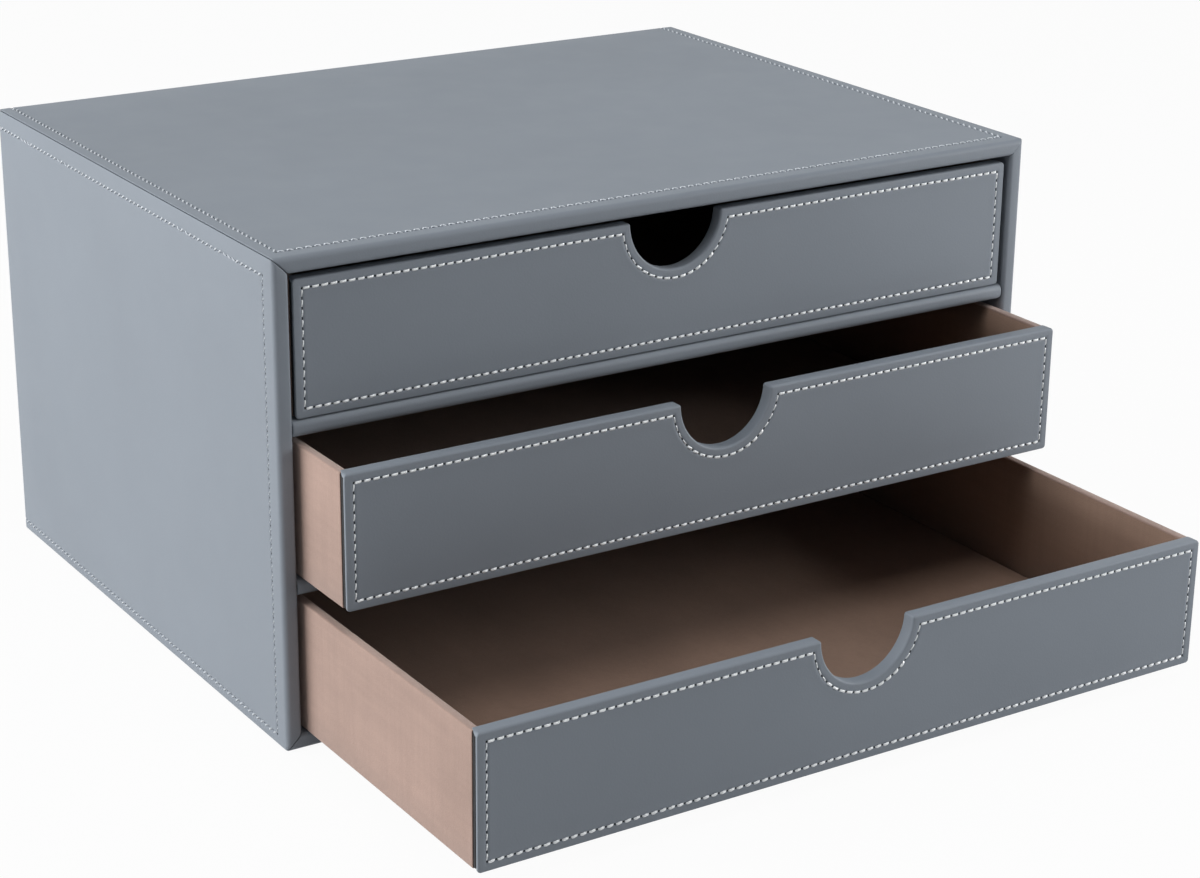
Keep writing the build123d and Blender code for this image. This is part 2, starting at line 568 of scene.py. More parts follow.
def run(start, end, count):
    """Points on a straight run, without its last one."""
    steps = [i / count for i in range(count)]
    return [(start[0] + (end[0] - start[0]) * t, start[1] + (end[1] - start[1]) * t) for t in steps]


def quarter_angles(count):
    """Angles from zero to a right angle, in even steps."""
    return [math.pi / 2 * i / count for i in range(count + 1)]


def round_off(share):
    """How far a rounded edge has dropped, from none at zero to all at one."""
    return 1 - math.sqrt(max(0.0, 1 - share * share))


# Leather swells a little on both sides of a sewn channel
GROOVE_DEPTH = 0.24
GROOVE_WIDTH = 0.5
SWELL_HEIGHT = 0.05
SWELL_PLACE = 1.3
SWELL_WIDTH = 0.6
GROOVE_STEPS = (-2.2, -1.6, -1.1, -0.75, -0.5, -0.25, 0.0, 0.25, 0.5, 0.75, 1.1, 1.6, 2.2)


def groove(distance):
    """Depth of a sewn channel at a distance from its middle."""
    channel = GROOVE_DEPTH * math.exp(-((distance / GROOVE_WIDTH) ** 2))
    swell = SWELL_HEIGHT * math.exp(-(((abs(distance) - SWELL_PLACE) / SWELL_WIDTH) ** 2))
    return channel - swell


def groove_places(inset, least):
    """Distances from an edge at which a mesh follows a sewn channel, beyond the least one."""
    return [inset + step for step in GROOVE_STEPS if inset + step > least]


# Sewing


# Share of the pitch that a stitch leaves free at each needle hole
FRONT_STITCH_GAP = 0.125
CABINET_STITCH_GAP = 0.18

STITCH_SIDES = 9
STITCH_STEPS = 9
STITCH_RISE = 0.36
STITCH_SINK = 0.2
STITCH_BLUNTNESS = 0.4
STITCH_TAPER = 0.3
STITCH_FLATNESS = 0.8
STITCH_PLIES = 3
PLY_DEPTH = 0.13
PLY_TWIST = 2.4 * math.pi
# Upright rows are drawn tighter, so their thread is thinner and lies lower
UPRIGHT_TIGHT = 0.52

# Dark ovals of painted shade in the needle holes, in half widths of the thread, and their height over
# the channel
HOLE_SIDES = 8
HOLE_LENGTH = 1.2
HOLE_WIDTH = 0.8
HOLE_LIFT = 0.07


def sew(name, runs, outward, body, kind):
    """Stitches and needle holes along runs of points, as two pieces that ride on a body."""
    settings = bpy.context.scene.organizer_stitch
    pitch = settings.pitch / MM
    fine = kind == "cabinet_thread"
    half_width = (settings.cabinet_thread if fine else settings.thread) / MM / 2
    slant = math.tan(settings.cabinet_tilt if fine else settings.tilt)
    gap = CABINET_STITCH_GAP if fine else FRONT_STITCH_GAP
    out = Vector(outward)
    points = []
    faces = []
    hole_points = []
    hole_faces = []
    for path in runs:
        marks = even_marks([Vector(p) for p in path], pitch)
        for start, end in zip(marks, marks[1:]):
            add_stitch(points, faces, start, end, out, half_width, slant, gap)
        for i, mark in enumerate(marks):
            along = marks[min(i + 1, len(marks) - 1)] - marks[max(i - 1, 0)]
            add_hole_shade(hole_points, hole_faces, mark, along.normalized(), out, half_width)
    thread = make_piece(f"{name}_thread", points, faces, kind, first_side(points, faces))
    holes = make_piece(f"{name}_needle_hole_shades", hole_points, hole_faces, "needle_hole_shade", outward)
    for piece in (thread, holes):
        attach(piece, body)


def first_side(points, faces):
    """The way out of a stitch through its first face."""
    ring = points[:STITCH_SIDES]
    middle = sum(ring, Vector()) / STITCH_SIDES
    face = faces[0]
    return sum((points[i] for i in face), Vector()) / len(face) - middle


def even_marks(path, pitch):
    """Needle holes at even steps along a path, one on each end."""
    lengths = [0.0]
    for a, b in zip(path, path[1:]):
        lengths.append(lengths[-1] + (b - a).length)
    count = max(1, round(lengths[-1] / pitch))
    marks = []
    piece = 0
    for i in range(count + 1):
        want = lengths[-1] * i / count
        while piece < len(path) - 2 and lengths[piece + 1] < want:
            piece += 1
        share = (want - lengths[piece]) / (lengths[piece + 1] - lengths[piece])
        marks.append(path[piece].lerp(path[piece + 1], share))
    return marks


def add_stitch(points, faces, start, end, out, half_width, slant, gap):
    """One stitch: a twisted thread that comes up at one needle hole and goes down at the next."""
    along = end - start
    side = along.cross(out).normalized()
    upright = abs(along.z) > abs(along.x)
    lean = slant if upright or out.z > 0.5 else -slant
    slack = UPRIGHT_TIGHT if upright else 1.0
    first = len(points)
    for step in range(STITCH_STEPS):
        t = step / (STITCH_STEPS - 1)
        arch = math.sin(math.pi * t) ** STITCH_BLUNTNESS
        middle = start.lerp(end, gap + t * (1 - 2 * gap))
        middle = middle + side * lean * along.length * (t - 0.5)
        middle = middle + out * (STITCH_RISE * slack * arch - STITCH_SINK * (1 - arch))
        width = half_width * slack * (1 - STITCH_TAPER * (1 - arch))
        for k in range(STITCH_SIDES):
            angle = 2 * math.pi * k / STITCH_SIDES
            ply = 1 + PLY_DEPTH * math.cos(STITCH_PLIES * angle - PLY_TWIST * t)
            across = side * math.cos(angle) + out * math.sin(angle) * STITCH_FLATNESS
            points.append(middle + across * width * ply)
    for step in range(STITCH_STEPS - 1):
        for k in range(STITCH_SIDES):
            near = first + step * STITCH_SIDES
            far = near + STITCH_SIDES
            j = (k + 1) % STITCH_SIDES
            faces.append((near + k, near + j, far + j, far + k))
    last = first + (STITCH_STEPS - 1) * STITCH_SIDES
    faces.append(tuple(reversed(range(first, first + STITCH_SIDES))))
    faces.append(tuple(range(last, last + STITCH_SIDES)))


def add_hole_shade(points, faces, mark, along, out, half_width):
    """The mouth of one needle hole, a small dark oval a hair above the bottom of its channel."""
    side = along.cross(out).normalized()
    first = len(points)
    for k in range(HOLE_SIDES):
        angle = -2 * math.pi * k / HOLE_SIDES
        across = along * math.cos(angle) * HOLE_LENGTH + side * math.sin(angle) * HOLE_WIDTH
        points.append(mark + across * half_width + out * HOLE_LIFT)
    faces.append(tuple(range(first, first + HOLE_SIDES)))


# Drawer fronts


NOTCH_RADIUS = 20.0
NOTCH_LIP = 1.0
FRONT_CORNER = 1.4
LEAST_RADIUS = 0.35
EDGE_STEPS = 6
# From the edge's rounding to the first points of the channel, and from the channel to the flat face
CHANNEL_ROOM = 0.1
FACE_START = 4.5


def front_ring(width, height, inset):
    """A drawer front's outline a distance inside its edge, as (x, z, share of the top's course)."""
    a = width / 2 - inset
    low = inset
    high = height - inset
    corner = max(FRONT_CORNER - inset, LEAST_RADIUS)
    lip = max(NOTCH_LIP - inset, LEAST_RADIUS)
    notch = NOTCH_RADIUS + inset
    lip_z = high - lip
    lip_x = math.sqrt((notch + lip) ** 2 - (height - lip_z) ** 2)
    lip_end = math.atan2(height - lip_z, -lip_x)
    notch_start = math.atan2(lip_z - height, lip_x)
    quarter = math.pi / 2
    right = a - corner
    up = high - corner
    down = low + corner
    stretches = [
        (run((-right, low), (right, low), 30), 0, 0),
        (arc((right, down), corner, -quarter, 0, 6), 0, 0),
        (run((a, down), (a, up), 8), 0, 0),
        (arc((right, up), corner, 0, quarter, 6), 0, 1),
        (run((right, high), (lip_x, high), 16), 1, 1),
        (arc((lip_x, lip_z), lip, quarter, lip_end, 5), 1, 1),
        (arc((0, height), notch, notch_start, -math.pi - notch_start, 56), 1, 1),
        (arc((-lip_x, lip_z), lip, math.pi - lip_end, quarter, 5), 1, 1),
        (run((-lip_x, high), (-right, high), 16), 1, 1),
        (arc((-right, up), corner, quarter, math.pi, 6), 1, 0),
        (run((-a, up), (-a, down), 8), 0, 0),
        (arc((-right, down), corner, math.pi, 3 * quarter, 6), 0, 0),
    ]
    ring = []
    for points, first, last in stretches:
        for i, (x, z) in enumerate(points):
            ring.append((x, z, first + (last - first) * i / len(points)))
    return ring


def front_sections(thickness, leather, stitch):
    """Rings of a front's leather, from its turned-in edge to its face.

    Each ring is two pairs of inset and depth, at the ends and lower edge and at the top and notch.
    """
    facing = leather.facing / MM
    end_edge = leather.front_edge / MM
    top_edge = leather.top_edge / MM
    turn = leather.turn_in / MM
    sections = [
        ((2.6, facing), (turn, thickness)),
        ((2.2, facing), (turn - 0.15, thickness + 0.22)),
        ((1.6, facing), (turn - 0.5, thickness + 0.3)),
        ((1.0, facing), (1.2, thickness + 0.3)),
        ((0.5, facing), (0.5, thickness + 0.22)),
        ((0.2, facing - 0.06), (0.15, thickness + 0.02)),
        ((0.05, facing - 0.2), (0.0, thickness - 0.3)),
        ((0.0, facing - 0.4), (0.0, facing)),
    ]
    for angle in quarter_angles(EDGE_STEPS):
        inward = 1 - math.cos(angle)
        deep = 1 - math.sin(angle)
        sections.append(((end_edge * inward, end_edge * deep), (top_edge * inward, top_edge * deep)))
    for inset in groove_places(stitch, top_edge + CHANNEL_ROOM):
        level = (inset, groove(inset - stitch))
        sections.append((level, level))
    face = (stitch + FACE_START, 0.0)
    return sections + [(face, face)]


class ORGANIZER_OT_drawer_fronts(bpy.types.Operator):
    """Leather on the drawer fronts, turned over their tops and through their finger notches"""

    bl_idname = "organizer.drawer_fronts"
    bl_label = "Drawer fronts"

    def execute(self, context):
        leather = context.scene.organizer_leather
        stitch = context.scene.organizer_stitch.front_inset / MM
        for drawer in DRAWERS:
            node = f"{drawer}_drawer_front_cover"
            low, high = corner_box(node)
            size = high - low
            origin = Vector(((low.x + high.x) / 2, low.y, low.z))
            rings = []
            for ends, top in front_sections(size.y, leather, stitch):
                rings.append([origin + point for point in self.ring(size, ends, top)])
            points, faces = loft(rings, True)
            face = tuple(range(len(points) - len(rings[0]), len(points)))
            name = f"{drawer}_front_leather"
            cover = make_piece(name, points, [face] + faces, "slate_leather", (0, -1, 0))
            stand_for(cover, node, f"{drawer}_drawer", leather.thickness)
        return {"FINISHED"}

    def ring(self, size, ends, top):
        """One ring of the cover, between its course at the ends and its course at the top."""
        outer = front_ring(size.x, size.z, ends[0])
        inner = front_ring(size.x, size.z, top[0])
        points = []
        for (x0, z0, share), (x1, z1, _) in zip(outer, inner):
            depth = ends[1] + (top[1] - ends[1]) * share
            points.append(Vector((x0 + (x1 - x0) * share, depth, z0 + (z1 - z0) * share)))
        return points


class ORGANIZER_OT_front_stitching(bpy.types.Operator):
    """Thread sewn round each drawer front, along its edges and its finger notch"""

    bl_idname = "organizer.front_stitching"
    bl_label = "Drawer front stitching"

    def execute(self, context):
        inset = context.scene.organizer_stitch.front_inset / MM
        for drawer in DRAWERS:
            low, high = corner_box(f"{drawer}_drawer_front_cover")
            size = high - low
            a = size.x / 2 - inset
            top = size.z - inset
            radius = NOTCH_RADIUS + inset
            lip = math.sqrt(radius**2 - inset**2)
            swing = math.asin(inset / radius)
            notch = arc((0, size.z), radius, -swing, swing - math.pi, 60)
            runs = [
                [(-a, inset), (a, inset)],
                [(a, inset), (a, top)],
                [(a, top), (lip, top)],
                notch + [(-lip, top)],
                [(-lip, top), (-a, top)],
                [(-a, top), (-a, inset)],
            ]
            middle = (low.x + high.x) / 2
            depth = low.y + GROOVE_DEPTH
            placed = [[(middle + x, depth, low.z + z) for x, z in path] for path in runs]
            sew(f"{drawer}_front", placed, (0, -1, 0), f"{drawer}_drawer", "front_thread")
        return {"FINISHED"}


# Cabinet covers


OUTER_PANELS = ("left_side", "right_side", "top_panel", "bottom_panel")

PANEL_GAP = 0.1
SEAM_WIDTH = 0.8
SEAM_DROP = 0.6
SEAM_STEPS = (0.0, 0.06, 0.2, 0.45, SEAM_WIDTH)
# The seam at the top right is pressed tighter than the others
TIGHT_SEAM = 0.12

# How far a cover is folded in at the front and the back, and where its inside lies flat
FRONT_RETURN = 22.0
BACK_RETURN = 9.6
FOLD_FLAT = 10.0

OUTER_RIM_STEPS = 7
INNER_RIM_STEPS = 5
DEPTH_SHARES = (0.08, 0.2, 0.35, 0.5, 0.65, 0.8, 0.92)
LENGTH_SHARES = (0.25, 0.5, 0.75)
LENGTH_STEPS = (14.0, 30.0, 60.0)

# Channels start this far clear of a rim or seam, and run on this far past a crossing channel
CHANNEL_CLEAR = 0.2
CHANNEL_OVERRUN = 1.0
# Channels along the depth reach this far round the rim
CHANNEL_RIM = 1.0

# Distance from a panel's end at which the mitre has faded out, and the stretch over which it fades
MITRE_END = 60.0
MITRE_FADE = 40.0

# From the last stitch to the rounding at the back
STITCH_END = 0.5


class Panel:
    """An outer panel of the cabinet, in its own frame: depth, distance in from its face, and length."""

    def __init__(self, node, across, toward, high_seam=1.0):
        low, high = corner_box(node)
        self.front = low.y
        self.depth = high.y - low.y
        self.across = across
        self.toward = toward
        self.high_seam = high_seam
        whole = [corner_box(f"{name}_cover") for name in OUTER_PANELS]
        self.low = min(box[0][across] for box in whole)
        self.high = max(box[1][across] for box in whole)
        self.thickness = (high - low)[2 - across]
        self.level = high[2 - across] if toward < 0 else low[2 - across]

    def point(self, depth, inward, along):
        """A point of the panel in the part's frame."""
        place = [0.0, self.front + depth, 0.0]
        place[self.across] = along
        place[2 - self.across] = self.level + self.toward * inward
        return Vector(place)

    def outward(self):
        """The way that the panel's outer face looks."""
        way = Vector()
        way[2 - self.across] = -self.toward
        return way


def turned_edge(depth, inward, radius, quarter, count):
    """A right angle of a rounded edge, from a quarter of the circle on, as points and ways out."""
    points = []
    for angle in quarter_angles(count):
        way = (math.cos(quarter * math.pi / 2 + angle), math.sin(quarter * math.pi / 2 + angle))
        points.append((depth + radius * way[0], inward + radius * way[1], way))
    return points


def panel_profile(depth, thickness, outer, inner, stitch):
    """Section of a panel's leather, from its inner fold at the front to its inner fold at the back.

    Each point is its depth, its distance in from the panel's face, and the way out in that plane.
    """
    profile = [(FRONT_RETURN, thickness, (0, 1)), (FOLD_FLAT, thickness, (0, 1))]
    profile += turned_edge(inner, thickness - inner, inner, 1, INNER_RIM_STEPS)
    profile += turned_edge(outer, outer, outer, 2, OUTER_RIM_STEPS)
    if stitch:
        profile += [(place, 0.0, (0, -1)) for place in groove_places(stitch, outer + CHANNEL_CLEAR)]
    profile += [(depth * share, 0.0, (0, -1)) for share in DEPTH_SHARES]
    profile += turned_edge(depth - outer, outer, outer, 3, OUTER_RIM_STEPS)
    profile += turned_edge(depth - inner, thickness - inner, inner, 4, INNER_RIM_STEPS)
    profile.append((depth - BACK_RETURN, thickness, (0, 1)))
    return profile


def end_columns(inset):
    """Distances from a panel's end that its mesh has points at."""
    steps = list(SEAM_STEPS)
    if inset:
        steps += groove_places(inset, SEAM_WIDTH + CHANNEL_CLEAR)
    return steps + list(LENGTH_STEPS)


def seam_drop(distance):
    """How far a cover's edge curls in where it meets its neighbour."""
    return SEAM_DROP * round_off(max(0.0, 1 - distance / SEAM_WIDTH))


def panel_cover(panel, leather, front_inset, low_inset, high_inset):
    """Points and faces of a panel's leather, with sewn channels at the insets that aren't zero."""
    low_steps = end_columns(low_inset)
    high_steps = end_columns(high_inset)
    middle = panel.high - panel.low - low_steps[-1] - high_steps[-1]
    columns = [(-1, d) for d in low_steps] + [(0, share) for share in LENGTH_SHARES]
    columns += [(1, d) for d in reversed(high_steps)]
    outer = leather.outer_rim / MM
    inner = leather.inner_rim / MM
    profile = panel_profile(panel.depth, panel.thickness, outer, inner, front_inset)
    rows = []
    for depth, inward, normal in profile:
        row = []
        flat = inward == 0.0
        for side, value in columns:
            drop = 0.0
            press = panel.high_seam if side > 0 else 1.0
            if side:
                drop = seam_drop(value) * press
                inset = low_inset if side < 0 else high_inset
                if inset and depth > front_inset - CHANNEL_OVERRUN and inward < CHANNEL_RIM:
                    drop += groove(value - inset)
            inside_low = side >= 0 or not low_inset or value > low_inset - CHANNEL_OVERRUN
            inside_high = side <= 0 or not high_inset or value > high_inset - CHANNEL_OVERRUN
            if front_inset and flat and inside_low and inside_high:
                drop = max(drop, groove(depth - front_inset))
            at_depth = depth - normal[0] * drop
            at_inward = inward - normal[1] * drop
            if side:
                shear = max(0.0, min(1.0, (MITRE_END - value) / MITRE_FADE))
                along = PANEL_GAP * press + value + at_inward * shear
                along = panel.low + along if side < 0 else panel.high - along
            else:
                along = panel.low + low_steps[-1] + middle * value
            row.append(panel.point(at_depth, at_inward, along))
        rows.append(row)
    return loft(rows, False)


def cabinet_panels():
    """The four outer panels by name: panel, stitch insets at its front, low end and high end."""
    stitch = bpy.context.scene.organizer_stitch
    front = stitch.side_front_inset / MM
    base = stitch.side_bottom_inset / MM
    head = stitch.side_top_inset / MM
    edge = stitch.top_side_inset / MM
    top_front = stitch.top_front_inset / MM
    return {
        "left_side": (Panel("left_side_cover", 2, 1), front, base, head),
        "right_side": (Panel("right_side_cover", 2, -1, TIGHT_SEAM), front, base, head),
        "top_panel": (Panel("top_panel_cover", 0, -1, TIGHT_SEAM), top_front, edge, edge),
        "bottom_panel": (Panel("bottom_panel_cover", 0, 1), 0.0, 0.0, 0.0),
    }


class ORGANIZER_OT_cabinet_covers(bpy.types.Operator):
    """Leather over the cabinet's sides, top and bottom, rounded at rims and mitred at corners"""

    bl_idname = "organizer.cabinet_covers"
    bl_label = "Cabinet covers"

    def execute(self, context):
        leather = context.scene.organizer_leather
        for name, (panel, front, low, high) in cabinet_panels().items():
            points, faces = panel_cover(panel, leather, front, low, high)
            cover = make_piece(f"{name}_leather", points, faces, "slate_leather", -panel.outward())
            stand_for(cover, f"{name}_cover", "cabinet", leather.thickness)
        return {"FINISHED"}


class ORGANIZER_OT_cabinet_stitching(bpy.types.Operator):
    """Thread sewn along three edges of the cabinet's top and sides"""

    bl_idname = "organizer.cabinet_stitching"
    bl_label = "Cabinet stitching"

    def execute(self, context):
        leather = context.scene.organizer_leather
        for name, (panel, front, low, high) in cabinet_panels().items():
            if not front:
                continue
            back = panel.depth - leather.outer_rim / MM - STITCH_END
            first = panel.low + low
            last = panel.high - high
            corners = [(back, first), (front, first), (front, last), (back, last)]
            placed = [panel.point(depth, GROOVE_DEPTH, along) for depth, along in corners]
            runs = list(zip(placed, placed[1:]))
            sew(name, runs, panel.outward(), "cabinet", "cabinet_thread")
        return {"FINISHED"}


SHELF_NOSE = 2.4
SHELF_FLAT = 8
SHELF_END = 20
NOSE_STEPS = 7


class ORGANIZER_OT_shelf_covers(bpy.types.Operator):
    """Leather folded round the nose of each shelf"""

    bl_idname = "organizer.shelf_covers"
    bl_label = "Shelf covers"

    def execute(self, context):
        leather = context.scene.organizer_leather
        for shelf in ("upper_shelf", "lower_shelf"):
            low, high = corner_box(f"{shelf}_cover")
            flat = low.y + SHELF_FLAT
            nose = low.y + SHELF_NOSE
            profile = [(high.y, low.z, (0, -1)), (flat, low.z, (0, -1))]
            for middle, quarter in ((low.z + SHELF_NOSE, 2), (high.z - SHELF_NOSE, 1)):
                profile += reversed(turned_edge(nose, middle, SHELF_NOSE, quarter, NOSE_STEPS))
            profile += [(flat, high.z, (0, 1)), (high.y, high.z, (0, 1))]
            ends = [low.x + d for d in (*SEAM_STEPS, SHELF_END)]
            columns = ends + [0.0] + [-x for x in reversed(ends)]
            rows = []
            for y, z, normal in profile:
                row = []
                for x in columns:
                    drop = seam_drop(min(x - low.x, high.x - x))
                    row.append(Vector((x, y - normal[0] * drop, z - normal[1] * drop)))
                rows.append(row)
            points, faces = loft(rows, False)
            cover = make_piece(f"{shelf}_leather", points, faces, "slate_leather", (0, 0, -1))
            stand_for(cover, f"{shelf}_cover", "cabinet", leather.thickness)
        return {"FINISHED"}


BACK_STEPS = (*SEAM_STEPS, 8.0, 40.0)


class ORGANIZER_OT_back_cover(bpy.types.Operator):
    """Leather over the back of the cabinet, eased at its edges"""

    bl_idname = "organizer.back_cover"
    bl_label = "Back cover"

    def execute(self, context):
        leather = context.scene.organizer_leather
        low, high = corner_box("back_panel_cover")
        across, upward = (
            [low[axis] + d for d in BACK_STEPS]
            + [(low[axis] + high[axis]) / 2]
            + [high[axis] - d for d in reversed(BACK_STEPS)]
            for axis in (0, 2)
        )
        rows = []
        for z in upward:
            row = []
            for x in across:
                drop = seam_drop(min(x - low.x, high.x - x, z - low.z, high.z - z))
                row.append(Vector((x, high.y - drop, z)))
            rows.append(row)
        points, faces = loft(rows, False)
        cover = make_piece("back_panel_leather", points, faces, "slate_leather", (0, 1, 0))
        stand_for(cover, "back_panel_cover", "cabinet", leather.thickness)
        return {"FINISHED"}


# Drawer boxes


# The wrap starts this far behind the face of a drawer
SUEDE_BACK = 1.2
# It curls in there: by how much, and shares of the curl with their distances from the start
SUEDE_CURL = 0.4
SUEDE_CURL_STEPS = ((1.0, 0.0), (0.3, 0.12), (0.0, 0.45))
SUEDE_STRAIGHT = 1.0
# Its lower edge is rounded: inset, and height above the underside
WRAP_FOOT = ((0.8, 0.0), (0.25, 0.12), (0.0, 0.6))

WALL_STEPS = 12
BACK_WALL_STEPS = 16
CORNER_STEPS = 10
WALL_BAND = 12
# The lining reaches this far above the floor liner's underside
LINING_FOOT = 0.1
# The lining is the last rings of a wall's section, and starts on the wrap's last ring
LINING_RINGS = 3
# Thickness of the sheets, in metres
WALL_SUEDE = 0.0004
FLOOR_SUEDE = 0.0005


def wall_profile(base, top, foot, wall, edge):
    """Section of a wall's suede as (inset, height): up the outside, over the top, down the inside."""
    turn = quarter_angles(EDGE_STEPS)
    profile = [(inset, base + rise) for inset, rise in (*WRAP_FOOT, (0.0, WALL_BAND))]
    profile += [(edge * (1 - math.cos(a)), top - edge * (1 - math.sin(a))) for a in turn]
    profile += [(wall - edge * (1 - math.sin(a)), top - edge * (1 - math.cos(a))) for a in turn]
    return profile + [(wall, top - WALL_BAND), (wall, foot)]


def u_ring(half, near, far, corner, curl):
    """Points round three sides of a drawer, from the front along the left, the back and the right.

    The cloth curls in by the given amount where it ends behind the drawer's front.
    """
    quarter = math.pi / 2
    left = -half + corner
    back = far - corner
    straight = near + SUEDE_STRAIGHT
    start = [(curl * share, away) for share, away in SUEDE_CURL_STEPS]
    points = [(-half + inward, near + away) for inward, away in start]
    points += run((-half, straight), (-half, back), WALL_STEPS)
    points += arc((left, back), corner, math.pi, quarter, CORNER_STEPS)
    points += run((left, far), (-left, far), BACK_WALL_STEPS)
    points += arc((-left, back), corner, quarter, 0.0, CORNER_STEPS)
    points += run((half, back), (half, straight), WALL_STEPS)
    points.append((half, straight))
    points += [(half - inward, near + away) for inward, away in reversed(start)]
    return points


class ORGANIZER_OT_drawer_suede(bpy.types.Operator):
    """Suede round the walls of each drawer: outside, over the top edges and down the inside"""

    bl_idname = "organizer.drawer_suede"
    bl_label = "Drawer suede"

    def execute(self, context):
        suede = context.scene.organizer_suede
        edge = suede.edge / MM
        corner = suede.corner / MM
        for drawer in DRAWERS:
            low, high = corner_box(f"{drawer}_drawer_outer_wrap")
            floor_low, floor_high = corner_box(f"{drawer}_drawer_floor_liner")
            wall = high.y - floor_high.y
            foot = floor_low.z + LINING_FOOT
            rings = []
            for inset, z in wall_profile(low.z, high.z, foot, wall, edge):
                radius = max(corner - inset, LEAST_RADIUS)
                curl = SUEDE_CURL if inset < wall / 2 else 0.0
                ring = u_ring(high.x - inset, low.y + SUEDE_BACK, high.y - inset, radius, curl)
                rings.append([Vector((x, y, z)) for x, y in ring])
            points, faces = loft(rings[: 1 - LINING_RINGS], False)
            faces.append(tuple(reversed(range(len(rings[0])))))
            wrap = make_piece(f"{drawer}_drawer_suede", points, faces, "drawer_suede", (0, 0, -1))
            # The lining inside the walls takes the darker suede of painted shade
            points, faces = loft(rings[-LINING_RINGS:], False)
            lining = make_piece(f"{drawer}_drawer_inner_suede", points, faces, "shaded_inner_suede", (1, 0, 0))
            for piece, node in ((wrap, "outer_wrap"), (lining, "inner_lining")):
                stand_for(piece, f"{drawer}_drawer_{node}", f"{drawer}_drawer", WALL_SUEDE)
        return {"FINISHED"}


# Floor liners: places at the edges, rounding of the edges, and slow waves in the cloth
LINER_STEPS = (0.15, 0.2, 0.35, 0.65, 1.1, 6.0)
LINER_ROUND = 0.95
LINER_DROP = 0.6
LINER_SWELL = 0.04
LINER_COLUMNS = 12
LINER_ROWS = 10


def liner_places(low, high, count):
    """Places across a floor liner, close together at its edges and even between them."""
    even = [low + (high - low) * i / count for i in range(1, count)]
    return [low + d for d in LINER_STEPS] + even + [high - d for d in reversed(LINER_STEPS)]


class ORGANIZER_OT_floor_liners(bpy.types.Operator):
    """Suede sheets on the floors of the drawers"""

    bl_idname = "organizer.floor_liners"
    bl_label = "Floor liners"

    def execute(self, context):
        for drawer in DRAWERS:
            node = f"{drawer}_drawer_floor_liner"
            low, high = corner_box(node)
            rows = []
            for y in liner_places(low.y, high.y, LINER_ROWS):
                row = []
                for x in liner_places(low.x, high.x, LINER_COLUMNS):
                    rim = min(x - low.x, high.x - x, y - low.y, high.y - y)
                    drop = LINER_DROP * round_off(max(0.0, 1 - (rim - LINER_STEPS[0]) / LINER_ROUND))
                    wave = math.sin(x * 0.043 + 0.6) * math.sin(y * 0.051 + 1.1)
                    row.append(Vector((x, y, high.z - drop + LINER_SWELL * (wave - 1))))
                rows.append(row)
            points, faces = loft(rows, False)
            liner = make_piece(f"{drawer}_floor_suede", points, faces, "shaded_inner_suede", (0, 0, 1))
            stand_for(liner, node, f"{drawer}_drawer", FLOOR_SUEDE)
        return {"FINISHED"}


# Pieces that show as their solids


class ORGANIZER_OT_solid_finishes(bpy.types.Operator):
    """Finishes of the boards, linings and base pad"""

    bl_idname = "organizer.solid_finishes"
    bl_label = "Board and lining finishes"

    def execute(self, context):
        finishes = {
            "leather": "slate_leather",
            "board": "fibreboard_and_gap_shade",
            # Suede solids take the darker suede of painted shade
            "suede": "shaded_inner_suede",
            "cabinet_lining": "cabinet_lining",
            "base_felt": "base_felt",
        }
        for subpart in frame["record"]["subparts"]:
            solid = frame["nodes"][subpart["node"]]
            solid.data.materials.clear()
            solid.data.materials.append(finish(finishes[subpart["material_slot"]]))
        return {"FINISHED"}


# Stage


WHITE = (1, 1, 1)
SKY = (0.93, 0.96, 1.0)
SKY_STRENGTH = 0.08
FLOOR_REACH = 4.0
# Share of plain white in the floor where the background itself is seen
FLOOR_LIFT = 0.96
SENSOR_WIDTH = 36.0
CLIP_START = 0.05
CLIP_END = 20.0

# Name, place, point it looks at, size, power and colour of each lamp, in metres and watts
LAMPS = (
    ("key_light", (-1.7, 0.48, 0.64), (-0.1, 0, 0.1), 1.8, 46, WHITE),
    ("top_light", (-0.3, 0.5, 1.7), (0, 0, 0.1), 1.4, 3.6, (0.80, 0.92, 1.0)),
    ("front_light", (0.08, -0.55, 1.3), (0.03, -0.15, 0.1), 0.6, 4.0, WHITE),
    ("fill_light", (0.78, -0.56, 0.3), (0.09, -0.2, 0.08), 0.4, 4.5, WHITE),
)


def background_share(tree):
    """One for rays that see the background itself: from the camera, in gloss or through glass."""
    path = tree.nodes.new("ShaderNodeLightPath")
    shares = [path.outputs[name] for name in ("Is Camera Ray", "Is Glossy Ray", "Is Transmission Ray")]
    total = shares[0]
    for share in shares[1:]:
        node = tree.nodes.new("ShaderNodeMath")
        node.operation = "MAXIMUM"
        tree.links.new(total, node.inputs[0])
        tree.links.new(share, node.inputs[1])
        total = node.outputs["Value"]
    return total


def floor_material(colour):
    """A pale floor that keeps shadows and fades into the white behind it."""
    made = Nodes("pale_floor")
    made.set(Base_Color=colour, Roughness=0.85, Specular_IOR_Level=0.1)
    tree = made.tree
    glow = made.add("ShaderNodeEmission")
    mix = made.add("ShaderNodeMixShader")
    lift = made.math("MULTIPLY", background_share(tree), FLOOR_LIFT)
    made.join(lift, mix.inputs["Fac"])
    made.join(made.shader.outputs["BSDF"], mix.inputs[1])
    made.join(glow.outputs["Emission"], mix.inputs[2])
    output = next(node for node in tree.nodes if node.type == "OUTPUT_MATERIAL")
    made.join(mix.outputs["Shader"], output.inputs["Surface"])
    return made.material


